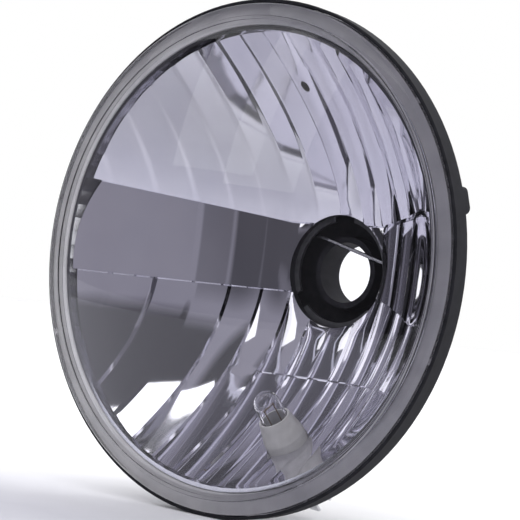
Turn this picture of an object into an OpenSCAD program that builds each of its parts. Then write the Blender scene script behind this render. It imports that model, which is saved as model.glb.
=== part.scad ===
// Round seven inch motorcycle headlight insert with a clear glass lens.
// The lamp faces -Y and +Z is up. The origin is the centre of the flange's rear seat.

/* [Rim] */
// Outer diameter of the mounting ring
flange_d = 177.8; // [172:0.2:184]
// Length of the ring's outer wall in front of the seat
flange_depth = 6.9; // [6:0.1:9]
// Thickness of the ring's outer wall
flange_wall = 1.0; // [0.8:0.1:1.6]
// Thickness of the ring's floor, whose rear side is the seat
ring_floor = 1.2; // [1:0.1:1.6]
// Clearance between the reflector's web and the ring's wall
ring_gap = 0.3; // [0.2:0.05:0.5]
// Distance from the seat to the front of the reflector's web
flange_web = 3.0; // [2.6:0.1:3.6]
// Width of the flat rear seat
seat_width = 6.9; // [6:0.1:7.2]
// Width of a locating lug
lug_w = 9; // [6:0.5:12]
// How far a locating lug stands behind the seat
lug_h = 2.8; // [2:0.1:4]
// Angle of the first locating lug above the +X axis
lug_angle = 15.5; // [0:0.5:45]

/* [Glass lens] */
// Gap between the glass edge and the flange wall
lens_gap = 0.5; // [0.3:0.1:0.8]
// Height of the glass edge, front to back
lens_edge = 5.0; // [4.5:0.1:6]
// Thickness of the domed glass
lens_t = 3.2; // [2.6:0.1:4]
// Rise of the dome in front of the glass edge
dome_rise = 13; // [8:0.5:20]
// Width of the rim outside the dome, up to the ring's outside
dome_margin = 9.55; // [9:0.05:10]
// Distance of the raised bead from the ring's outside
bead_margin = 6.65; // [6:0.05:7.2]
// Height of that bead
bead_h = 0.7; // [0.4:0.1:1]
// Thickness of the sealant under the glass edge
sealant_t = 0.55; // [0.4:0.05:0.8]

/* [Reflector] */
// Focal length of the bowl
focal = 24.85; // [24.4:0.05:25.4]
// Width outside the reflecting field, up to the ring's outside
field_margin = 10.9; // [10.4:0.1:11.6]
// How far the bowl stands in front of the seat at the field's edge
field_front = 0.6; // [0:0.1:1]
// Wall of the bowl at its vertex, along the axis
bowl_wall = 2.6; // [2.2:0.1:3.4]
// How much thicker the wall is at the field's edge, along the axis
edge_wall = 4.4; // [4:0.1:5]
// How much larger the bulb opening's radius is than the seat's bore
opening_lip = 2.1; // [1.5:0.1:3]
// Width of one fluted column
flute_w = 10; // [8:0.5:13]
// Crown of a flute
flute_crown = 0.75; // [0.3:0.05:1]
// Step between two columns
flute_step = 1.1; // [0.4:0.1:1.6]
// Width of the blend at a step
step_band = 0.5; // [0.4:0.1:0.8]
// Height of the upper step at the bulb opening
upper_step_z = 17.3; // [14:0.1:20]
// Height of the cut-off step below the axis
cutoff_z = -9; // [-12:0.1:-6]
// Height of the lowest step
lower_step_z = -40; // [-44:0.5:-36]

/* [Neck] */
// Distance from the flat rear pad to the bowl's vertex
pad_lap = 2.6; // [2.2:0.1:3]
// Room between the seat plate's edge and the inside of the neck
neck_room = 2.5; // [2:0.1:3.5]
// Wall of the neck
neck_wall = 3; // [2.5:0.1:3.5]
// Length of the neck behind the pad
neck_l = 8; // [7:0.5:10]
// How far the bead on the neck stands out
neck_bead = 0.7; // [0.4:0.1:1]
// Number of ribs behind the bowl
rib_count = 8; // [8:1:12]
// Thickness of a rib
rib_t = 2.4; // [1.8:0.1:3.2]

/* [Bulb seat] */
// Bore of the seat for the bulb's collar
seat_bore_d = 38; // [37.8:0.1:38.4]
// Width of the seat plate round its bore
seat_margin = 10; // [9.5:0.1:11]
// Thickness of the seat plate
seat_t = 1.2; // [1:0.1:1.6]
// Distance of the screws from the seat plate's edge
screw_inset = 3.5; // [3:0.1:4]
// Thread diameter of a seat screw
screw_d = 3; // [2.5:0.1:3.2]

/* [Wire clip] */
// Diameter of the spring wire
wire_d = 1.4; // [1.2:0.1:1.6]
// Clearance between the wire and what it passes
wire_gap = 0.3; // [0.2:0.05:0.5]
// Distance of the clip's pivot from the seat plate's edge
pivot_inset = 3; // [2.5:0.1:3.5]
// Running clearance round the pivot
pivot_gap = 0.06; // [0.04:0.01:0.1]

/* [Boot] */
// Clearance between the boot and the bead of the neck
boot_gap = 0.3; // [0.2:0.05:0.5]
// Wall of the boot's skirt
boot_wall = 3; // [2.4:0.1:4]
// Inner diameter of the boot's sleeve
sleeve_d = 22.6; // [21:0.2:24]
// Wall of the sleeve
sleeve_wall = 2.1; // [1.6:0.1:2.4]
// Length of the sleeve
sleeve_l = 12.2; // [11:0.1:14]

/* [Parking lamp] */
// Distance of the parking lamp beside the centre line
park_x = 12; // [8:0.5:16]
// Distance of the parking lamp from the field's edge, below the axis
park_inset = 16; // [14:0.5:20]
// Diameter of the hole for its holder
park_hole_d = 15.6; // [15:0.1:17]
// Clearance of the holder in that hole
park_gap = 0.3; // [0.2:0.05:0.5]
// Length of the holder's nose inside the bowl
nose_l = 11; // [9:0.5:13]
// Diameter of the bulb's glass
park_bulb_d = 9.2; // [8.8:0.1:10.2]
// How far the glass stands out of the nose
park_bulb_out = 10.5; // [8:0.5:12]

/* [Vent] */
// Distance of the vent from the field's edge, above the axis
vent_inset = 15.2; // [12:0.2:20]
// Distance of the vent beside the centre line
vent_x = 4.5; // [0:0.5:10]
// Diameter of the vent hole
vent_d = 3; // [2.4:0.1:4]

/* [Hidden] */
$fn = 96;

// Rim and lens, all radii
flange_r = flange_d/2;
channel_r = flange_r - flange_wall;
lens_r = channel_r - lens_gap;
seat_inner_r = flange_r - seat_width;
field_r = flange_r - field_margin;
dome_r = flange_r - dome_margin;
bead_r = flange_r - bead_margin;
lip_r = field_r + 1.2;
lip_h = 1.3;
lens_back_y = -flange_web - sealant_t;
lens_front_y = lens_back_y - lens_edge;
edge_round = 1.5;
lens_inner_r = dome_r + 2.2;
lug_d = 4;
lug_inset = 0.2;
lug_count = 3;

// Bowl: the depth of the reflecting side and of the rear side at radius r
vertex_y = field_r*field_r/(4*focal) - field_front;
pad_y = vertex_y - pad_lap;
function bowl(r) = vertex_y - r*r/(4*focal);
function bowl_back(r) = bowl(r) + bowl_wall + edge_wall*r*r/(field_r*field_r);
seat_bore_r = seat_bore_d/2;
seat_plate_r = seat_bore_r + seat_margin;
opening_r = seat_bore_r + opening_lip;
neck_in_r = seat_plate_r + neck_room;
neck_r = neck_in_r + neck_wall;
neck_back_y = pad_y + neck_l;

// Flutes: the field is a grid of columns and rows, each with its own offset from the bowl
grid_half = 84;
column_last = ceil(grid_half/flute_w) - 1;
fan_rise = 0.15;
cutoff_fall = 0.3;
inner_x = 21;
warp_reach = 26;
row_offset = [0.5, -0.3, -1.7, 0];
straight_row = 2;
straight_share = 0.8;
straight_lean = 0.06;
straight_mid = 4;
half_band = step_band/2;
flute_stations = [-1, -0.5, 0, 0.5, 1];
grid_x = [for (c = [-column_last - 1:column_last]) for (u = flute_stations)
    (c + 0.5)*flute_w + u*(flute_w/2 - half_band)];
function rows(low, high, count) = [for (k = [0:count]) low + (high - low)*k/count];
grid_z = concat(rows(-grid_half, lower_step_z - half_band, 8),
    rows(lower_step_z + half_band, cutoff_z - half_band, 6),
    rows(cutoff_z + half_band, upper_step_z - half_band, 5),
    rows(upper_step_z + half_band, grid_half, 11));
function row_of(z) = z < lower_step_z ? 0 : z < cutoff_z ? 1 : z < upper_step_z ? 2 : 3;
function near(z, line) = max(0, 1 - abs(z - line)/warp_reach);
function warped(x, z) = z + fan_rise*near(z, upper_step_z)*max(abs(x) - inner_x, 0)
    - cutoff_fall*near(z, cutoff_z)*max(x - inner_x, 0);
function across(x) = 2*(x/flute_w - floor(x/flute_w)) - 1;
function straightened(w) = straight_share*w*w/(4*focal) + straight_lean*(w - straight_mid);
function relief(x, z) = row_offset[row_of(z)] - flute_crown*(1 - pow(across(x), 2))
    + flute_step/2*across(x)*sign(x)
    + (row_of(z) == straight_row ? straightened(warped(x, z)) : 0);
function field_point(x, z) = let (w = warped(x, z)) [x, bowl(norm([x, w])) + relief(x, z), w];

// Seat and clip
seat_back_y = pad_y + seat_t;
screw_circle_r = seat_plate_r - screw_inset;
screw_count = 3;
screw_first = 60;
notch_angles = [90, 215, 325];
notch_w = [8.4, 6.4, 6.4];
notch_depth = 2.6;
wire_r = wire_d/2;
bend_swell = 0.1;
pivot_x = seat_plate_r - pivot_inset;
pivot_y = seat_back_y + 2.8;
pivot_top_z = 13.5;
pivot_low_z = 4.5;
run_y = seat_back_y + wire_gap + wire_r;
run_start = [-7.9, 11.8];
run_end = [seat_plate_r - 3.8, 2.3];
run_fall = (run_start.y - run_end.y)/(run_end.x - run_start.x);
handle_x = run_end.x + 3;
handle_y = run_y + 3.5;
handle_l = 6.8;
clip_path = [[-pivot_x, pivot_y, pivot_low_z], [-pivot_x, pivot_y, pivot_top_z],
    [2*run_start.x, run_y + wire_d, pivot_top_z], [run_start.x, run_y, run_start.y],
    [run_end.x, run_y, run_end.y], [handle_x, handle_y, run_end.y],
    [handle_x, handle_y, run_end.y - handle_l]];
catch_x = run_end.x - 2;
catch_w = 2;
catch_z = run_end.y + 2*run_fall + 1.05*wire_r + wire_gap;

// Boot
boot_in_r = neck_r + neck_bead + boot_gap;
boot_out_r = boot_in_r + boot_wall;
sleeve_r = sleeve_d/2;
sleeve_front_y = run_y + wire_r + wire_gap + 0.1;
boot_back_y = sleeve_front_y + sleeve_l;
boot_front_y = pad_y - 2.6;

// Parking lamp: its place on the bowl and its tilt
park_z = park_inset - field_r;
park_y = bowl(norm([park_x, park_z]));
park_lean = [-park_x/(2*focal), -1, -park_z/(2*focal)];
park_axis = park_lean/norm(park_lean);
park_hole_r = park_hole_d/2;
nose_r = park_hole_r - park_gap;
nose_tip_r = nose_r - 1.9;
boss_r = park_hole_r + 3.8;
boss_h = 5.2;
gasket_t = 1.6;
collar_t = 2.2;
holder_back = -boss_h - gasket_t - collar_t;
holder_l = 11;
park_bulb_r = park_bulb_d/2;
pocket_r = park_bulb_r + 0.35;
pocket_floor = -3;
bulb_base_l = 8;

// Vent
vent_z = field_r - vent_inset;
vent_y = bowl(norm([vent_x, vent_z]));
vent_boss_r = 5;
vent_cap_r = vent_boss_r + 1;
vent_back_y = bowl_back(norm([vent_x, vent_z]) - vent_cap_r) + 0.4;

// A turned form: the profile's points are [radius, depth along +Y]
module turned(points) {
    mirror([0, 1, 0]) rotate([90, 0, 0]) rotate_extrude() polygon(points);
}
module drum(r, from_y, to_y, fn = 96) {
    translate([0, from_y, 0]) rotate([-90, 0, 0]) cylinder(r = r, h = to_y - from_y, $fn = fn);
}
module at_park() {
    translate([park_x, park_y, park_z])
        rotate([0, acos(park_axis.z), atan2(park_axis.y, park_axis.x)]) children();
}
function arc(cx, cy, r, a0, a1, n) = [for (k = [0:n])
    let (a = a0 + (a1 - a0)*k/n) [cx + r*cos(a), cy + r*sin(a)]];

// The space in front of the fluted field, closed far in front of the lamp
module fluted_space() {
    nx = len(grid_x);
    nz = len(grid_z);
    field = [for (z = grid_z) for (x = grid_x) field_point(x, z)];
    cells = [for (j = [0:nz - 2]) for (i = [0:nx - 2])
        [j*nx + i, j*nx + i + 1, (j + 1)*nx + i + 1, (j + 1)*nx + i]];
    edge = concat([for (i = [0:nx - 2]) i], [for (j = [0:nz - 2]) j*nx + nx - 1],
        [for (i = [nx - 1:-1:1]) (nz - 1)*nx + i], [for (j = [nz - 1:-1:1]) j*nx]);
    apex = nx*nz;
    far_y = -3000;
    sides = len(edge);
    polyhedron(concat(field, [[0, far_y, 0]]), concat(
        [for (q = cells) [q[0], q[1], q[3]]], [for (q = cells) [q[1], q[2], q[3]]],
        [for (k = [0:sides - 1]) [edge[(k + 1) % sides], edge[k], apex]]), convexity = 8);
}
module bowl_blank() {
    edge_r = seat_inner_r - ring_gap;
    web_r = channel_r - ring_gap;
    turned(concat([[0, 0]], [[0, pad_y], [neck_in_r, pad_y], [neck_in_r, neck_back_y],
        [neck_r, neck_back_y], [neck_r + neck_bead, neck_back_y - 0.9],
        [neck_r, neck_back_y - 1.8], [neck_r, bowl_back(neck_r)]],
        [for (k = [1:12]) let (r = neck_r + (edge_r - neck_r)*k/12) [r, bowl_back(r)]],
        [[edge_r, -ring_floor], [web_r, -ring_floor], [web_r, -flange_web],
        [lip_r, -flange_web], [lip_r, -flange_web - lip_h], [0, -flange_web - lip_h]]));
}
module rib(angle) {
    rotate([0, angle, 0]) hull() {
        translate([neck_r, bowl_back(neck_r) - 1, 0]) rotate([-90, 0, 0])
            cylinder(d = rib_t, h = 4, $fn = 16);
        translate([seat_inner_r - 6, bowl_back(seat_inner_r - 6) - 2.5, 0]) rotate([-90, 0, 0])
            cylinder(d = rib_t, h = 4, $fn = 16);
    }
}
module reflector() {
    color("silver") difference() {
        union() {
            bowl_blank();
            for (k = [0:rib_count - 1]) rib(22.5 + 360*k/rib_count);
            at_park() translate([0, 0, -boss_h]) cylinder(r = boss_r, h = boss_h - 0.5, $fn = 48);
            translate([vent_x, 0, vent_z]) drum(vent_boss_r, vent_y + 1, vent_back_y, 32);
        }
        intersection() {
            fluted_space();
            drum(field_r, -20, vertex_y + 5);
        }
        drum(opening_r, pad_y - 20, pad_y + 1);
        at_park() translate([0, 0, -boss_h - 20])
            cylinder(r = park_hole_r, h = boss_h + 40, $fn = 48);
        translate([vent_x, 0, vent_z]) drum(vent_d/2, vent_y - 10, vent_back_y + 1, 24);
    }
}

module lug(angle) {
    rotate([0, -angle, 0]) hull() for (side = [-1, 1])
        translate([flange_r - lug_d/2 - lug_inset, -ring_floor/2, side*(lug_w - lug_d)/2])
            rotate([-90, 0, 0]) cylinder(d = lug_d, h = lug_h + ring_floor/2, $fn = 24);
}
module rim_ring() {
    corner = 0.4;
    color("#1e1e20") union() {
        turned([[seat_inner_r, 0], [flange_r - corner, 0], [flange_r, -corner],
            [flange_r, -flange_depth + corner], [flange_r - corner, -flange_depth],
            [channel_r, -flange_depth], [channel_r, -ring_floor], [seat_inner_r, -ring_floor]]);
        for (k = [0:lug_count - 1]) lug(lug_angle + 360*k/lug_count);
    }
}

module glass_lens() {
    dome_R = (dome_r*dome_r + dome_rise*dome_rise)/(2*dome_rise);
    inner_r = lens_inner_r;
    inner_R = dome_R - lens_t;
    centre_y = lens_front_y - dome_rise + dome_R;
    span = asin(dome_r/dome_R);
    inner_span = asin((dome_r - 1)/inner_R);
    color("lightcyan", 0.4) turned(concat(
        arc(0, centre_y, dome_R, -90, -90 + span, 24),
        [[bead_r - 1.6, lens_front_y + 0.9], [bead_r - 0.7, lens_front_y],
        [bead_r, lens_front_y - bead_h], [bead_r + 0.7, lens_front_y]],
        arc(lens_r - edge_round, lens_front_y + edge_round, edge_round, -90, 0, 6),
        [[lens_r, lens_back_y], [inner_r, lens_back_y], [inner_r - 0.6, lens_front_y + 3.6]],
        arc(0, centre_y, inner_R, -90 + inner_span, -90, 24)));
}
module lens_sealant() {
    in_r = lip_r + 0.1;
    out_r = channel_r - ring_gap - 0.1;
    color("dimgray") turned([[in_r, -flange_web], [out_r, -flange_web],
        [out_r, lens_back_y], [lens_inner_r - 0.3, lens_back_y],
        [lens_inner_r - 0.5, lens_back_y - 1.1], [in_r + 0.4, lens_back_y - 0.9],
        [in_r, lens_back_y - 0.3]]);
}

module bulb_seat() {
    color("dimgray") difference() {
        drum(seat_plate_r, pad_y, seat_back_y);
        drum(seat_bore_r, pad_y - 1, seat_back_y + 1);
        for (k = [0:2]) rotate([0, -notch_angles[k], 0]) translate([0, pad_y - 1, -notch_w[k]/2])
            cube([seat_bore_r + notch_depth, seat_t + 2, notch_w[k]]);
    }
}
module seat_screws() {
    head_r = screw_d*0.95;
    color("silver") for (k = [0:screw_count - 1])
        rotate([0, -screw_first - 360*k/screw_count, 0]) translate([screw_circle_r, 0, 0])
            drum(head_r, seat_back_y, seat_back_y + 1.6, 32);
}

module wire_run(points) {
    for (k = [0:len(points) - 2]) {
        run = points[k + 1] - points[k];
        translate(points[k]) rotate([0, acos(run.z/norm(run)), atan2(run.y, run.x)])
            cylinder(r = wire_r, h = norm(run), $fn = 24);
        if (k > 0) translate(points[k]) rotate([0, acos(run.z/norm(run)), atan2(run.y, run.x)])
            sphere(r = wire_r + bend_swell, $fn = 24);
    }
}
module wire_clip() {
    color("gainsboro") wire_run(clip_path);
}
module clip_pivot() {
    barrel_r = wire_r + 1.4;
    barrel_low = pivot_low_z + 1;
    barrel_l = pivot_top_z - wire_r - 1.4 - barrel_low;
    color("gray") difference() {
        union() {
            translate([-pivot_x, pivot_y, barrel_low]) cylinder(r = barrel_r, h = barrel_l, $fn = 32);
            translate([-pivot_x - barrel_r, seat_back_y, barrel_low])
                cube([2*barrel_r, pivot_y - seat_back_y, barrel_l]);
        }
        translate([-pivot_x, pivot_y, barrel_low - 1])
            cylinder(r = wire_r + pivot_gap, h = barrel_l + 2, $fn = 32);
    }
}
module clip_catch() {
    plate_t = 1;
    hook_y = run_y + wire_r + wire_gap;
    color("gray") union() {
        translate([catch_x, seat_back_y, catch_z + 1.8])
            cube([catch_w, hook_y + plate_t - seat_back_y, plate_t + 0.2]);
        translate([catch_x, hook_y, catch_z]) cube([catch_w, plate_t, 3]);
    }
}

module rubber_boot() {
    groove = 1.2;
    bead = 0.8;
    tube_r = sleeve_r + sleeve_wall;
    face_y = boot_back_y - 2.4;
    groove_in_r = tube_r + 8.6;
    groove_out_r = boot_out_r - 13;
    color("#26262a") turned(concat([[boot_in_r, boot_front_y], [boot_out_r + bead, boot_front_y],
        [boot_out_r + bead, boot_front_y + 3], [boot_out_r, boot_front_y + 3 + bead]],
        arc(boot_out_r - 4, face_y - 1.6, 4, 0, 90, 8),
        [[groove_out_r + 1.5, boot_back_y], [groove_out_r, boot_back_y - groove],
        [groove_in_r, boot_back_y - groove], [groove_in_r - 1.5, boot_back_y],
        [sleeve_r, boot_back_y], [sleeve_r, sleeve_front_y], [tube_r, sleeve_front_y],
        [tube_r, face_y - 2.2], [tube_r + 1.2, face_y - 1], [boot_in_r - 3, face_y - 1]],
        arc(boot_in_r - 3, face_y - 4, 3, 90, 0, 6)));
}

module parking_holder() {
    color("#8c8a8e") at_park() difference() {
        union() {
            translate([0, 0, holder_back - holder_l]) cylinder(r = nose_r - 0.6, h = holder_l, $fn = 48);
            translate([0, 0, holder_back]) cylinder(r = boss_r, h = collar_t, $fn = 48);
            translate([0, 0, holder_back + collar_t])
                cylinder(r = nose_r, h = -holder_back - collar_t + 3, $fn = 48);
            translate([0, 0, 3]) cylinder(r1 = nose_r, r2 = nose_tip_r, h = nose_l - 3, $fn = 48);
        }
        translate([0, 0, pocket_floor]) cylinder(r = pocket_r, h = nose_l + 10, $fn = 48);
    }
}
module holder_gasket() {
    color("#1c1c1e") at_park() translate([0, 0, -boss_h - gasket_t]) difference() {
        cylinder(r = boss_r - 0.6, h = gasket_t, $fn = 48);
        translate([0, 0, -1]) cylinder(r = nose_r, h = gasket_t + 2, $fn = 48);
    }
}
module parking_bulb() {
    low = pocket_floor + bulb_base_l;
    high = nose_l + park_bulb_out;
    round_z = high - park_bulb_r;
    color("lightcyan", 0.5) at_park() translate([0, 0, low]) rotate_extrude() polygon(concat(
        [[0, 0], [park_bulb_r, 0]], arc(0, round_z - low, park_bulb_r, 0, 90, 10),
        arc(0, round_z - low, park_bulb_r - 0.6, 90, 0, 10),
        [[park_bulb_r - 0.6, 1.4], [0, 1.4]]));
}
module parking_bulb_base() {
    color("goldenrod") at_park() translate([0, 0, pocket_floor])
        cylinder(r = park_bulb_r, h = bulb_base_l, $fn = 48);
}
module parking_filament() {
    post_gap = 2.2;
    foot = pocket_floor + bulb_base_l + 1.4;
    top = nose_l + park_bulb_out*0.42;
    color("#b08d57") at_park() {
        for (side = [-1, 1]) translate([side*post_gap, 0, foot])
            cylinder(r = 0.25, h = top - foot, $fn = 16);
        translate([-post_gap - 0.25, 0, top]) rotate([0, 90, 0])
            cylinder(r = 0.3, h = 2*post_gap + 0.5, $fn = 16);
    }
}
module parking_terminals() {
    blade_w = 4.8;
    blade_t = 0.8;
    blade_l = 8;
    color("silver") at_park() for (side = [-1, 1])
        translate([side*3 - blade_t/2, -blade_w/2, holder_back - holder_l - blade_l])
            cube([blade_t, blade_w, blade_l]);
}
module vent_cap() {
    cap_h = 3.4;
    color("#1c1c1e") translate([vent_x, 0, vent_z]) difference() {
        drum(vent_cap_r, vent_back_y, vent_back_y + cap_h, 48);
        drum(vent_d/2 + 0.6, vent_back_y - 1, vent_back_y + cap_h - 1.2, 32);
    }
}

reflector();
rim_ring();
glass_lens();
lens_sealant();
bulb_seat();
seat_screws();
wire_clip();
clip_pivot();
clip_catch();
rubber_boot();
parking_holder();
holder_gasket();
parking_bulb();
parking_bulb_base();
parking_filament();
parking_terminals();
vent_cap();
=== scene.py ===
import math
import bmesh
import bpy
from mathutils import Matrix, Vector


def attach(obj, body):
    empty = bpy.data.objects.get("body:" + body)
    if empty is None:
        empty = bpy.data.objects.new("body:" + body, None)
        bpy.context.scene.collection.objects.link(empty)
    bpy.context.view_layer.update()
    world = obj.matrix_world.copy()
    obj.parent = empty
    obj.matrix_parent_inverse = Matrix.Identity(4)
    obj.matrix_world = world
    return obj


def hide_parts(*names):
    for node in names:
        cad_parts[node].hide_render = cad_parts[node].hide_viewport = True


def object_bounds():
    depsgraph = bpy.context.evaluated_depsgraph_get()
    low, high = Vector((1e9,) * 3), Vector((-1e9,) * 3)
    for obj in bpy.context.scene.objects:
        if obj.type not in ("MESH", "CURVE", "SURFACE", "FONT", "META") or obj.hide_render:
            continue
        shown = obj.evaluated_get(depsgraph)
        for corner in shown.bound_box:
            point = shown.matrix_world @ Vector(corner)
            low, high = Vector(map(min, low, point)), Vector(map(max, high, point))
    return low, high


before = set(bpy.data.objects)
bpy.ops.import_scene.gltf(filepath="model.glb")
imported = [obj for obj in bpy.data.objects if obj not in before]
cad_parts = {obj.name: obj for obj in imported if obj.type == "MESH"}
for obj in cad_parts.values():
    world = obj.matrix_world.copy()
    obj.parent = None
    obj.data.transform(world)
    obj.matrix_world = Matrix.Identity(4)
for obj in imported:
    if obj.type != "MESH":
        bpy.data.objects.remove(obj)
cad_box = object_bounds()
MM = 0.001


# The camera stands where the photograph's camera stood, in the lamp's own frame
def set_camera():
    azimuth, elevation, roll = (math.radians(a) for a in (39.5122, -5.0554, 2.0178))
    lamp_roll = math.radians(5.0)
    distance = 0.5255
    focal_pixels = 1541.5
    image_pixels = 520
    offset_pixels = (-31.34, -4.0)
    target = Vector((0, -0.008, 0))
    sensor = 36.0
    level_right = Vector((math.cos(azimuth), math.sin(azimuth), 0))
    back = Vector((math.sin(azimuth)*math.cos(elevation), -math.cos(azimuth)*math.cos(elevation),
                   math.sin(elevation)))
    level_up = back.cross(level_right)
    right = level_right*math.cos(roll) + level_up*math.sin(roll)
    up = level_up*math.cos(roll) - level_right*math.sin(roll)
    axes = Matrix((right, up, back)).transposed()
    turn = Matrix.Rotation(-lamp_roll, 3, "Y")
    axes = turn @ axes
    camera = bpy.data.cameras.new("camera")
    camera.sensor_width = sensor
    camera.lens = focal_pixels/image_pixels*sensor
    camera.shift_x = -offset_pixels[0]/image_pixels
    camera.shift_y = offset_pixels[1]/image_pixels
    camera.clip_start = 0.01
    holder = bpy.data.objects.new("camera", camera)
    holder.matrix_world = Matrix.Translation(target + axes.col[2]*distance) @ axes.to_4x4()
    bpy.context.scene.collection.objects.link(holder)
    bpy.context.scene.camera = holder


set_camera()


# Short helpers for objects and node materials
def add_object(name, data):
    obj = bpy.data.objects.new(name, data)
    bpy.context.scene.collection.objects.link(obj)
    return obj


def smooth(obj, degrees):
    obj.data.shade_smooth()
    obj.data.set_sharp_from_angle(angle=math.radians(degrees))


def finish_piece(obj, material):
    """One material in the mesh's slot, and the lamp's body."""
    obj.data.materials.clear()
    obj.data.materials.append(material)
    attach(obj, "lamp")


MOTTLE_LOW, MOTTLE_HIGH = 0.3, 0.7
GRAIN_DEPTH = 0.02*MM


def new_material(name):
    mat = bpy.data.materials.new(name)
    mat.use_nodes = True
    nodes = mat.node_tree.nodes
    return mat, nodes, mat.node_tree.links, nodes["Principled BSDF"]


def noise(nodes, links, scale, detail=4.0):
    coords = nodes.new("ShaderNodeTexCoord")
    texture = nodes.new("ShaderNodeTexNoise")
    texture.inputs["Scale"].default_value = scale
    texture.inputs["Detail"].default_value = detail
    links.new(coords.outputs["Object"], texture.inputs["Vector"])
    return texture.outputs["Fac"]


def ramp(nodes, links, source, stops):
    node = nodes.new("ShaderNodeValToRGB")
    elements = node.color_ramp.elements
    while len(elements) < len(stops):
        elements.new(0.5)
    for element, (place, colour) in zip(elements, stops):
        element.position = place
        element.color = (*colour, 1)
    links.new(source, node.inputs["Fac"])
    return node.outputs["Color"]


def mottled(nodes, links, grain, dark, light):
    """A colour that drifts between two tones with the grain."""
    return ramp(nodes, links, grain, [(MOTTLE_LOW, dark), (MOTTLE_HIGH, light)])


def mixed(nodes, links, factor, first, second, blend="MIX"):
    """Two colours mixed; each of the three may be a number, a colour or another node's output."""
    node = nodes.new("ShaderNodeMix")
    node.data_type = "RGBA"
    node.blend_type = blend
    for place, value in (("Factor", factor), ("A", first), ("B", second)):
        if isinstance(value, (int, float, tuple)):
            node.inputs[place].default_value = value
        else:
            links.new(value, node.inputs[place])
    return node.outputs["Result"]


def ranged(nodes, links, source, from_range=(0.0, 1.0), to_range=(0.0, 1.0)):
    """A value carried from one range to another, and held inside it."""
    node = nodes.new("ShaderNodeMapRange")
    node.inputs["From Min"].default_value, node.inputs["From Max"].default_value = from_range
    node.inputs["To Min"].default_value, node.inputs["To Max"].default_value = to_range
    links.new(source, node.inputs["Value"])
    return node.outputs["Result"]


def object_place(nodes, links):
    """The point's place in the object's own frame, split into X, Y and Z."""
    coords = nodes.new("ShaderNodeTexCoord")
    place = nodes.new("ShaderNodeSeparateXYZ")
    links.new(coords.outputs["Object"], place.inputs[0])
    return place.outputs


def bump(nodes, links, shader, source, strength, distance):
    node = nodes.new("ShaderNodeBump")
    node.inputs["Strength"].default_value = strength
    node.inputs["Distance"].default_value = distance
    links.new(source, node.inputs["Height"])
    links.new(node.outputs["Normal"], shader.inputs["Normal"])


def solid_material(name, dark, light, roughness, metallic=0.0, scale=300.0, specular=0.5):
    mat, nodes, links, shader = new_material(name)
    grain = noise(nodes, links, scale)
    links.new(mottled(nodes, links, grain, dark, light), shader.inputs["Base Color"])
    gloss = ranged(nodes, links, grain, to_range=(roughness*0.85, min(1.0, roughness*1.2)))
    links.new(gloss, shader.inputs["Roughness"])
    shader.inputs["Metallic"].default_value = metallic
    shader.inputs["Specular IOR Level"].default_value = specular
    bump(nodes, links, shader, grain, 0.5, GRAIN_DEPTH)
    return mat


def glass_material(name, tint):
    """Clear glass; light on its way to what lies behind passes straight through."""
    mat, nodes, links, shader = new_material(name)
    waves = noise(nodes, links, 40.0, detail=1.0)
    links.new(mottled(nodes, links, waves, tint, (1, 1, 1)), shader.inputs["Base Color"])
    shader.inputs["Transmission Weight"].default_value = 1.0
    shader.inputs["Roughness"].default_value = 0.0
    shader.inputs["IOR"].default_value = 1.38
    bump(nodes, links, shader, waves, 0.1, GRAIN_DEPTH)
    path = nodes.new("ShaderNodeLightPath")
    light_ray = path.outputs["Is Shadow Ray"]
    for kind in ("Is Diffuse Ray", "Is Reflection Ray"):
        light_ray = math_node(nodes, links, "MAXIMUM", light_ray, path.outputs[kind])
    clear = nodes.new("ShaderNodeBsdfTransparent")
    clear.inputs["Color"].default_value = (0.9, 0.9, 0.92, 1)
    either = nodes.new("ShaderNodeMixShader")
    links.new(light_ray, either.inputs["Fac"])
    links.new(shader.outputs["BSDF"], either.inputs[1])
    links.new(clear.outputs["BSDF"], either.inputs[2])
    links.new(either.outputs["Shader"], nodes["Material Output"].inputs["Surface"])
    return mat


def mirror_material():
    mat, nodes, links, shader = new_material("metallising")
    waves = noise(nodes, links, 55.0, detail=2.0)
    tone = mottled(nodes, links, waves, (0.82, 0.81, 0.86), (0.87, 0.86, 0.90))
    links.new(tone, shader.inputs["Base Color"])
    shader.inputs["Metallic"].default_value = 1.0
    shader.inputs["Roughness"].default_value = 0.05
    bump(nodes, links, shader, waves, 0.25, 0.05*MM)
    return mat


def math_node(nodes, links, operation, first, second):
    node = nodes.new("ShaderNodeMath")
    node.operation = operation
    for place, value in enumerate((first, second)):
        if isinstance(value, (int, float)):
            node.inputs[place].default_value = value
        else:
            links.new(value, node.inputs[place])
    return node.outputs["Value"]


def metallised_side(nodes, links):
    """1 on the sides that face the front, and on the inward walls near the rim; 0 elsewhere."""
    coords = nodes.new("ShaderNodeTexCoord")
    facing = nodes.new("ShaderNodeSeparateXYZ")
    links.new(coords.outputs["Normal"], facing.inputs[0])
    place = object_place(nodes, links)
    forward = math_node(nodes, links, "LESS_THAN", facing.outputs["Y"], -0.02)
    outward = math_node(nodes, links, "ADD",
                        math_node(nodes, links, "MULTIPLY", facing.outputs["X"], place["X"]),
                        math_node(nodes, links, "MULTIPLY", facing.outputs["Z"], place["Z"]))
    inward = math_node(nodes, links, "LESS_THAN", outward, -0.06)
    return math_node(nodes, links, "MAXIMUM", forward, inward)


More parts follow.
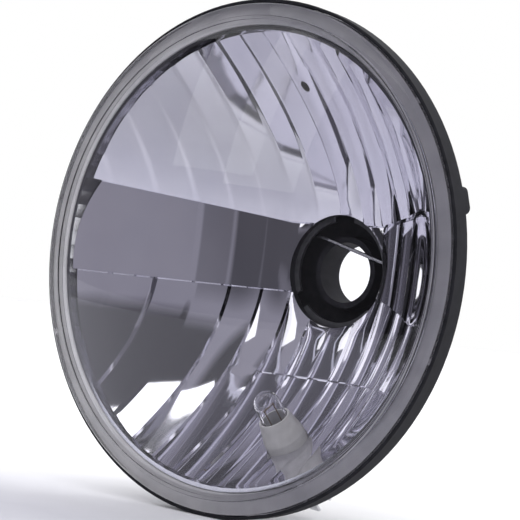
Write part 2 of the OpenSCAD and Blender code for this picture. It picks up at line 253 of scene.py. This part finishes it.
def moulding_material():
    """Black moulded plastic behind, metallised in front."""
    mat, nodes, links, shader = new_material("moulding")
    grain = noise(nodes, links, 260.0)
    front = metallised_side(nodes, links)
    black = mottled(nodes, links, grain, (0.016, 0.016, 0.019), (0.028, 0.028, 0.032))
    metal = mottled(nodes, links, grain, (0.76, 0.76, 0.80), (0.84, 0.84, 0.87))
    links.new(mixed(nodes, links, front, black, metal), shader.inputs["Base Color"])
    links.new(front, shader.inputs["Metallic"])
    links.new(ranged(nodes, links, front, to_range=(0.42, 0.12)), shader.inputs["Roughness"])
    bump(nodes, links, shader, grain, 0.3, GRAIN_DEPTH)
    return mat


def sealant_material():
    """Grey butyl with a painted highlight: lighter at the left, standing in for the light that the glass
    edge catches there.
    """
    mat, nodes, links, shader = new_material("sealant")
    grain = noise(nodes, links, 90.0)
    painted_edge_light = ranged(nodes, links, object_place(nodes, links)["X"], from_range=(-LENS_R*MM, LENS_R*MM*0.3))
    light = mottled(nodes, links, grain, (0.62, 0.61, 0.60), (0.74, 0.73, 0.71))
    dark = mottled(nodes, links, grain, (0.24, 0.235, 0.255), (0.32, 0.31, 0.33))
    # Painted highlight: the light tone at the left fades into the butyl's dark grey towards the right.
    links.new(mixed(nodes, links, painted_edge_light, light, dark), shader.inputs["Base Color"])
    shader.inputs["Roughness"].default_value = 0.5
    bump(nodes, links, shader, grain, 0.5, GRAIN_DEPTH)
    return mat


# Reflector, in mm: the mirror skin follows the same bowl and flutes as the moulding
FOCAL, FIELD_R, OPENING_R, FIELD_FRONT = 24.85, 78.0, 21.1, 0.6
VERTEX_Y = FIELD_R*FIELD_R/(4*FOCAL) - FIELD_FRONT
FLUTE_W, FLUTE_CROWN, FLUTE_STEP, BAND = 10.0, 0.75, 1.1, 0.5
UPPER_Z, CUTOFF_Z, LOWER_Z = 17.3, -9.0, -40.0
ROW_OFFSET = (0.5, -0.3, -1.7, 0.0)
STRAIGHT_ROW, STRAIGHT_SHARE, STRAIGHT_LEAN, STRAIGHT_MID = 2, 0.8, 0.06, 4.0
LEFT_STEP = (1.0, 1.0, 0.15, 0.3)
RUN_ON_X, RUN_ON_WIDTH = -30.0, 22.0
LEFT_CROWN, PAIRED_X, PAIR_STEP = 0.18, -40.0, 0.35
CALM_WIDTH, CALM_SHARE, MOUTH_OFFSET, MOUTH_EDGE_Y = 4.0, 0.75, -0.6, 57.9
PARK_X, PARK_Z, PARK_HOLE_R = 12.0, -62.0, 7.8
VENT_X, VENT_Z, VENT_R = 4.5, 62.8, 1.5
RING_CUT, VENT_CUT, PARK_CUT = (-30.0, 90.0), (-40.0, 90.0), (-20.0, 30.0)
LOOKS_BACK, FIELD_FRONT_LIMIT, CUT_SLACK = 0.05, -20.0, 0.02
COARSE_FRONT, COARSE_SLACK, MOUTH_SLACK = -0.03, 0.03, 0.1
FAN_RISE, CUTOFF_FALL, INNER_X, WARP_REACH = 0.15, 0.3, 21.0, 26.0
GRID_HALF, BLOCK_FRONT_Y, COLUMN_CUTS, ROW_CUTS = 84.0, -110.0, 12, (24, 18, 15, 36)
SHELL_SMOOTH, FIELD_SMOOTH = 25, 28


def bowl(r):
    return VERTEX_Y - r*r/(4*FOCAL)


def near(z, line):
    return max(0.0, 1 - abs(z - line)/WARP_REACH)


def warped(x, z):
    rise = FAN_RISE*near(z, UPPER_Z)*max(abs(x) - INNER_X, 0)
    fall = CUTOFF_FALL*near(z, CUTOFF_Z)*max(x - INNER_X, 0)
    return z + rise - fall


def straightened(w):
    return STRAIGHT_SHARE*w*w/(4*FOCAL) + STRAIGHT_LEAN*(w - STRAIGHT_MID)


def part_way(x, width):
    """How far x is across its column, from -1 to 1."""
    return 2*(x/width - math.floor(x/width)) - 1


def row_offset(row, x):
    """The lowest row runs on from the next one at the left, and stands off it from the middle on."""
    share = min(1.0, max(0.0, (x - RUN_ON_X)/RUN_ON_WIDTH)) if row == 0 else 1.0
    return ROW_OFFSET[1] + (ROW_OFFSET[row] - ROW_OFFSET[1])*share


def relief(x, z):
    """How far the flutes and steps stand off the plain bowl; it calms down near the bulb opening."""
    row = 0 if z < LOWER_Z else 1 if z < CUTOFF_Z else 2 if z < UPPER_Z else 3
    across = part_way(x, FLUTE_W)
    wide = FLUTE_W*2 if x < PAIRED_X and row < STRAIGHT_ROW else FLUTE_W
    step = FLUTE_STEP if x > 0 else FLUTE_STEP*LEFT_STEP[row]
    crown = LEFT_CROWN if x < (0 if row >= STRAIGHT_ROW else PAIRED_X) else FLUTE_CROWN
    side = 1 if x > 0 else -1
    height = row_offset(row, x) - crown*(1 - across*across) + step/2*part_way(x, wide)*side
    height += PAIR_STEP/2*across*side if wide > FLUTE_W else 0
    w = warped(x, z)
    height += straightened(w) if row == STRAIGHT_ROW else 0
    calm = min(1.0, max(0.0, (math.hypot(x, w) - OPENING_R)/CALM_WIDTH))
    return MOUTH_OFFSET + (height - MOUTH_OFFSET)*(1 - CALM_SHARE + CALM_SHARE*calm)


def field_y(x, z):
    return bowl(math.hypot(x, warped(x, z))) + relief(x, z)


def spread(low, high, count):
    return [low + (high - low)*k/count for k in range(count + 1)]


def linked(name, points, faces):
    """A new object from points in mm, with its faces turned outward."""
    mesh = bpy.data.meshes.new(name)
    mesh.from_pydata([(x*MM, y*MM, z*MM) for x, y, z in points], [], faces)
    obj = add_object(name, mesh)
    work = bmesh.new()
    work.from_mesh(mesh)
    bmesh.ops.recalc_face_normals(work, faces=work.faces)
    if work.calc_volume(signed=True) < 0:
        bmesh.ops.reverse_faces(work, faces=work.faces)
    work.to_mesh(mesh)
    work.free()
    return obj


def field_block():
    """A closed block whose rear side is the fluted field."""
    half = BAND/2
    columns = []
    last = math.ceil(GRID_HALF/FLUTE_W) - 1
    for c in range(-last - 1, last + 1):
        columns += spread(c*FLUTE_W + half, (c + 1)*FLUTE_W - half, COLUMN_CUTS)
    rows = ((-GRID_HALF, LOWER_Z - half), (LOWER_Z + half, CUTOFF_Z - half),
            (CUTOFF_Z + half, UPPER_Z - half), (UPPER_Z + half, GRID_HALF))
    lines = [z for (low, high), cuts in zip(rows, ROW_CUTS) for z in spread(low, high, cuts)]
    nx, nz = len(columns), len(lines)
    points = [(x, field_y(x, z), warped(x, z)) for z in lines for x in columns]
    faces = [(j*nx + i, j*nx + i + 1, (j + 1)*nx + i + 1, (j + 1)*nx + i)
             for j in range(nz - 1) for i in range(nx - 1)]
    corners = (0, nx - 1, nx*nz - 1, nx*(nz - 1))
    first = len(points)
    points += [(points[c][0], BLOCK_FRONT_Y, points[c][2]) for c in corners]
    low, right, high, left = first, first + 1, first + 2, first + 3
    faces += [(low, right, high, left),
              (*range(0, nx), right, low),
              (*range(nx - 1, nx*nz, nx), high, right),
              (*range(nx*nz - 1, nx*(nz - 1) - 1, -1), left, high),
              (*range(nx*(nz - 1), -1, -nx), low, left)]
    return linked("mirror_skin", points, faces)


def drum(radius, low_y, high_y, inner=0.0, count=192):
    """A closed drum round the Y axis, or a ring with an inner radius."""
    profile = [(radius, low_y), (radius, high_y)]
    profile += [(inner, high_y), (inner, low_y)] if inner else []
    n = len(profile)
    points = [(r*math.cos(2*math.pi*k/count), y, r*math.sin(2*math.pi*k/count))
              for k in range(count) for r, y in profile]
    faces = []
    for k in range(count):
        a, b = n*k, n*((k + 1) % count)
        faces += [(a + i, b + i, b + (i + 1) % n, a + (i + 1) % n) for i in range(n if inner else 1)]
    if not inner:
        faces += [tuple(n*k for k in range(count)), tuple(n*k + 1 for k in range(count))]
    return linked("cutter", points, faces)


def boolean(obj, tool, operation):
    """Cuts or keeps with a tool, which is used up."""
    cut = obj.modifiers.new("cut", "BOOLEAN")
    cut.operation, cut.object, cut.solver = operation, tool, "EXACT"
    graph = bpy.context.evaluated_depsgraph_get()
    mesh = bpy.data.meshes.new_from_object(obj.evaluated_get(graph))
    obj.modifiers.clear()
    obj.data = mesh
    bpy.data.objects.remove(tool)


def park_frame():
    """The parking lamp's place: its origin on the bowl and its axis into the bowl."""
    y = bowl(math.hypot(PARK_X, PARK_Z))
    axis = Vector((-PARK_X/(2*FOCAL), -1, -PARK_Z/(2*FOCAL))).normalized()
    place = Matrix.Translation(Vector((PARK_X, y, PARK_Z))*MM)
    return place @ axis.to_track_quat("Z", "Y").to_matrix().to_4x4()


def on_park_hole(face, slack):
    """True where all of a face lies on the wall of the parking lamp's hole."""
    to_park = park_frame().inverted()
    return all(abs(math.hypot(*(to_park @ v.co).xy) - PARK_HOLE_R*MM) < slack*MM for v in face.verts)


def on_field(face):
    """True for a face of the fluted side: it looks back, and doesn't stand on a cutter's wall."""
    if face.normal.y < LOOKS_BACK or face.calc_center_median().y < FIELD_FRONT_LIMIT*MM:
        return False
    return not on_park_hole(face, CUT_SLACK)


def mirror_field():
    """The fluted side of the block, round the bulb opening, with the vent and the parking hole cut."""
    skin = field_block()
    boolean(skin, drum(FIELD_R, RING_CUT[0], RING_CUT[1], OPENING_R), "INTERSECT")
    vent = drum(VENT_R, VENT_CUT[0], VENT_CUT[1], count=32)
    vent.data.transform(Matrix.Translation((VENT_X*MM, 0, VENT_Z*MM)))
    boolean(skin, vent, "DIFFERENCE")
    park = drum(PARK_HOLE_R, PARK_CUT[0], PARK_CUT[1], count=64)
    park.data.transform(park_frame() @ Matrix.Rotation(math.radians(90), 4, "X"))
    boolean(skin, park, "DIFFERENCE")
    work = bmesh.new()
    work.from_mesh(skin.data)
    away = [f for f in work.faces if not on_field(f)]
    bmesh.ops.delete(work, geom=away, context="FACES")
    bmesh.ops.reverse_faces(work, faces=work.faces)
    work.to_mesh(skin.data)
    work.free()
    return skin


def make_reflector():
    """The moulding without its coarse field, joined to the finer fluted mirror."""
    shell = add_object("reflector_shell", bpy.data.objects["reflector"].data.copy())
    work = bmesh.new()
    work.from_mesh(shell.data)

    def coarse(face):
        centre = face.calc_center_median()
        inside = math.hypot(centre.x, centre.z) < FIELD_R*MM
        return face.normal.y < COARSE_FRONT and inside and not on_park_hole(face, COARSE_SLACK)

    bmesh.ops.delete(work, geom=[f for f in work.faces if coarse(f)], context="FACES")
    for v in work.verts:
        at_mouth = abs(math.hypot(v.co.x, v.co.z) - OPENING_R*MM) < MOUTH_SLACK*MM
        if at_mouth and v.co.y < MOUTH_EDGE_Y*MM:
            v.co.y = field_y(v.co.x/MM, v.co.z/MM)*MM
    work.to_mesh(shell.data)
    work.free()
    smooth(shell, SHELL_SMOOTH)
    field = mirror_field()
    smooth(field, FIELD_SMOOTH)
    finish_piece(shell, moulding_material())
    finish_piece(field, mirror_material())
    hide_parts("reflector")


# Lens and sealant, in mm: the source's profiles, turned finely so that the glass bends light evenly
LENS_R, DOME_R, DOME_RISE, LENS_T = 87.4, 79.35, 13.0, 3.2
LENS_BACK_Y, LENS_FRONT_Y, LENS_INNER_R = -3.55, -8.55, 81.55
BEAD_R, BEAD_W, BEAD_H, EDGE_ROUND = 82.25, 0.7, 0.7, 1.5
BEAD_FOOT, CORNER_IN, CORNER_DEPTH, DOME_LEDGE = (1.6, 0.75), 0.6, 3.6, 1.0
DOME_CUTS, BEAD_CUTS, EDGE_CUTS = 48, 10, 8
SEALANT_INNER_R, SEALANT_R, SEALANT_BACK_Y = 79.3, 87.5, -3.0
LIP_GAP, LIP_HEIGHT, LIP_TAPER, LIP_BEVEL = 0.3, 1.1, 0.2, (0.4, 0.6)
SMOOTH_ANGLE = 40


def arc(centre_r, centre_y, radius, start, stop, count, squash=1.0):
    angles = [math.radians(a) for a in spread(start, stop, count)]
    return [(centre_r + radius*math.cos(a), centre_y + squash*radius*math.sin(a)) for a in angles]


def turned(name, profile, count=256):
    """A profile of (radius, y) points turned round the Y axis; a point on the axis closes it."""
    points, faces, rings = [], [], []
    for r, y in profile:
        on_axis = r == 0
        rings.append((len(points), on_axis))
        points += [(0, y, 0)] if on_axis else [
            (r*math.cos(2*math.pi*k/count), y, r*math.sin(2*math.pi*k/count)) for k in range(count)]
    for (a, a_axis), (b, b_axis) in zip(rings, rings[1:] + rings[:1]):
        if a_axis and b_axis:
            continue
        for k in range(count):
            n = (k + 1) % count
            low = [a] if a_axis else [a + k, a + n]
            high = [b] if b_axis else [b + n, b + k]
            faces.append(tuple(low + high))
    return linked(name, points, faces)


def make_lens():
    sphere = (DOME_R*DOME_R + DOME_RISE*DOME_RISE)/(2*DOME_RISE)
    centre_y = LENS_FRONT_Y - DOME_RISE + sphere
    span = math.degrees(math.asin(DOME_R/sphere))
    inner = sphere - LENS_T
    inner_span = math.degrees(math.asin((DOME_R - DOME_LEDGE)/inner))
    outer_dome = arc(0, centre_y, sphere, -90, -90 + span, DOME_CUTS)
    outer_dome[0] = (0.0, outer_dome[0][1])
    inner_dome = arc(0, centre_y, inner, -90 + inner_span, -90, DOME_CUTS)
    inner_dome[-1] = (0.0, inner_dome[-1][1])
    profile = outer_dome + [(BEAD_R - BEAD_FOOT[0], LENS_FRONT_Y + BEAD_FOOT[1])]
    profile += arc(BEAD_R, LENS_FRONT_Y, BEAD_W, -180, 0, BEAD_CUTS, BEAD_H/BEAD_W)
    profile += arc(LENS_R - EDGE_ROUND, LENS_FRONT_Y + EDGE_ROUND, EDGE_ROUND, -90, 0, EDGE_CUTS)
    profile += [(LENS_R, LENS_BACK_Y), (LENS_INNER_R, LENS_BACK_Y),
                (LENS_INNER_R - CORNER_IN, LENS_FRONT_Y + CORNER_DEPTH)]
    lens = turned("lens_turned", profile + inner_dome)
    smooth(lens, SMOOTH_ANGLE)
    finish_piece(lens, glass_material("lens_glass", (0.97, 0.98, 0.985)))
    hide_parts("glass_lens")


def make_sealant():
    """A flat bead under the glass edge, with a lip that rises inside it."""
    low, high = SEALANT_BACK_Y, LENS_BACK_Y
    lip_r, lip_y = LENS_INNER_R - LIP_GAP, high - LIP_HEIGHT
    bead = turned("sealant_turned", [
        (SEALANT_INNER_R, low), (SEALANT_R, low), (SEALANT_R, high), (lip_r, high),
        (lip_r - LIP_TAPER, lip_y), (SEALANT_INNER_R + LIP_BEVEL[0], lip_y + LIP_TAPER),
        (SEALANT_INNER_R, lip_y + LIP_TAPER + LIP_BEVEL[1])])
    smooth(bead, SMOOTH_ANGLE)
    finish_piece(bead, sealant_material())
    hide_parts("lens_sealant")


# Stage: a pale floor, a light tent that is dark towards the camera, two softboxes and two soft fills
TENT_TINT = (1.0, 0.99, 1.04)
UPWARD, FORWARD = (0.62, 0, 1), (0.207, -0.974, -0.087)
HEIGHT_BANDS = [(-1.0, 0.3), (0.0, 0.3), (0.8, 0.34), (0.88, 0.34), (0.97, 0.06), (1.0, 0.06)]
FORWARD_BANDS = [(-1.0, 1.0), (0.74, 1.0), (0.92, 0.3), (1.0, 0.3)]
SIDE_BANDS = [(-1.0, 1.0), (-0.85, 1.0), (-0.78, 0.12), (-0.42, 0.12), (-0.34, 1.0), (1.0, 1.0)]
BEHIND_BANDS = [(-1.0, 0.0), (0.12, 0.0), (0.4, 1.0), (1.0, 1.0)]
BEHIND_TONE, SEEN_TONE = (1.2, 1.2, 1.25, 1), (1, 1, 1, 1)


def direction_ramp(nodes, links, source, stops):
    """A grey ramp over one component of the direction, from -1 to 1."""
    place = ranged(nodes, links, source, from_range=(-1, 1))
    tinted = [((at + 1)/2, tuple(v*share for share in TENT_TINT)) for at, v in stops]
    return ramp(nodes, links, place, tinted)


def along(nodes, links, source, direction):
    node = nodes.new("ShaderNodeVectorMath")
    node.operation = "DOT_PRODUCT"
    links.new(source, node.inputs[0])
    node.inputs[1].default_value = direction
    return node.outputs["Value"]


def make_world():
    """White behind the lamp and to the camera; in front, grey bands that the mirror shows."""
    world = bpy.data.worlds.new("studio")
    bpy.context.scene.world = world
    world.use_nodes = True
    nodes, links = world.node_tree.nodes, world.node_tree.links
    coords = nodes.new("ShaderNodeTexCoord")
    axis = nodes.new("ShaderNodeSeparateXYZ")
    links.new(coords.outputs["Generated"], axis.inputs[0])
    height = direction_ramp(nodes, links, along(nodes, links, coords.outputs["Generated"], UPWARD),
                            HEIGHT_BANDS)
    forward = direction_ramp(nodes, links, along(nodes, links, coords.outputs["Generated"], FORWARD),
                             FORWARD_BANDS)
    side = direction_ramp(nodes, links, axis.outputs["X"], SIDE_BANDS)
    behind = direction_ramp(nodes, links, axis.outputs["Y"], BEHIND_BANDS)
    front = mixed(nodes, links, 1.0, height, forward, "MULTIPLY")
    front = mixed(nodes, links, 1.0, front, side, "MULTIPLY")
    tent = mixed(nodes, links, behind, front, BEHIND_TONE)
    path = nodes.new("ShaderNodeLightPath")
    seen = mixed(nodes, links, path.outputs["Is Camera Ray"], tent, SEEN_TONE)
    links.new(seen, nodes["Background"].inputs["Color"])


def add_softbox(name, azimuth, elevation, distance, width, height, radiance, mirrored=True):
    """An area light that looks at the lamp; one that isn't mirrored only lights matt surfaces."""
    a, e = math.radians(azimuth), math.radians(elevation)
    away = Vector((math.sin(a)*math.cos(e), -math.cos(a)*math.cos(e), math.sin(e)))
    light = bpy.data.lights.new(name, "AREA")
    light.shape = "RECTANGLE"
    light.size, light.size_y = width, height
    light.energy = radiance*math.pi*width*height
    obj = add_object(name, light)
    obj.location = away*distance
    obj.rotation_mode = "QUATERNION"
    obj.rotation_quaternion = away.to_track_quat("Z", "Y")
    obj.visible_glossy = obj.visible_transmission = mirrored


def floor_material():
    """Pale behind the lamp; in front of it, where the mirror shows it, a little darker: painted shade
    standing in for the dimmer light on the floor there.
    """
    mat, nodes, links, shader = new_material("floor")
    grain = noise(nodes, links, 60.0)
    painted_shade_fade = ranged(nodes, links, object_place(nodes, links)["Y"], from_range=(-0.06, 0.06))
    # Painted shade: the darker front tone stands in for the lower light on the floor in front of the lamp.
    front = mottled(nodes, links, grain, (0.54, 0.54, 0.59), (0.56, 0.56, 0.61))
    rear = mottled(nodes, links, grain, (0.86, 0.86, 0.87), (0.88, 0.88, 0.89))
    links.new(mixed(nodes, links, painted_shade_fade, front, rear), shader.inputs["Base Color"])
    shader.inputs["Roughness"].default_value = 0.9
    return mat


def make_stage():
    floor_z = cad_box[0][2]
    reach, front_edge = 5.0, -0.42
    corners = ((-reach, front_edge), (reach, front_edge), (reach, reach), (-reach, reach))
    mesh = bpy.data.meshes.new("floor")
    mesh.from_pydata([(x, y, floor_z) for x, y in corners], [], [(0, 1, 2, 3)])
    mesh.materials.append(floor_material())
    add_object("floor", mesh)
    make_world()
    add_softbox("overhead_box", azimuth=-10, elevation=81, distance=1.3, width=0.55, height=0.36,
                radiance=2.2)
    add_softbox("left_box", azimuth=-30, elevation=32, distance=1.3, width=0.4, height=0.85, radiance=1.3)
    add_softbox("floor_fill", azimuth=0, elevation=90, distance=3.0, width=14.0, height=14.0, radiance=1.0,
                mirrored=False)
    add_softbox("front_fill", azimuth=40, elevation=20, distance=2.0, width=3.0, height=3.0, radiance=0.6,
                mirrored=False)
    bpy.context.scene.view_settings.view_transform = "Standard"


# Materials of the parts that keep their own mesh
def dress(node, material):
    obj = bpy.data.objects[node]
    obj.data.materials.clear()
    obj.data.materials.append(material)


def dress_parts():
    bright_steel = solid_material("zinc_steel", (0.5, 0.5, 0.52), (0.68, 0.68, 0.7), 0.3, 1.0, 500.0)
    for node in ("seat_screws", "clip_pivot", "clip_catch", "parking_terminals"):
        dress(node, bright_steel)
    dress("rim_ring", solid_material("ring_plastic", (0.008, 0.008, 0.010), (0.018, 0.018, 0.022), 0.6,
                                     specular=0.12))
    dress("bulb_seat", solid_material("dark_steel", (0.05, 0.05, 0.055), (0.08, 0.08, 0.085), 0.5, 0.3))
    dress("wire_clip", solid_material("spring_wire", (0.34, 0.34, 0.36), (0.5, 0.5, 0.52), 0.25, 1.0,
                                      900.0))
    dress("rubber_boot", solid_material("boot_rubber", (0.016, 0.016, 0.019), (0.028, 0.027, 0.032), 0.75,
                                        specular=0.15))
    dress("parking_holder", solid_material("holder_plastic", (0.46, 0.45, 0.44), (0.54, 0.53, 0.52), 0.45))
    dress("holder_gasket", solid_material("gasket_rubber", (0.02, 0.02, 0.02), (0.04, 0.04, 0.04), 0.7))
    dress("parking_bulb", glass_material("bulb_glass", (0.97, 0.97, 0.97)))
    dress("parking_bulb_base", solid_material("brass", (0.5, 0.36, 0.15), (0.66, 0.5, 0.24), 0.3, 1.0))
    dress("parking_filament", solid_material("filament_wire", (0.2, 0.13, 0.08), (0.34, 0.24, 0.15), 0.4,
                                             1.0))
    dress("vent_cap", solid_material("cap_plastic", (0.015, 0.015, 0.015), (0.03, 0.03, 0.03), 0.5))


make_stage()
dress_parts()
make_reflector()
make_lens()
make_sealant()
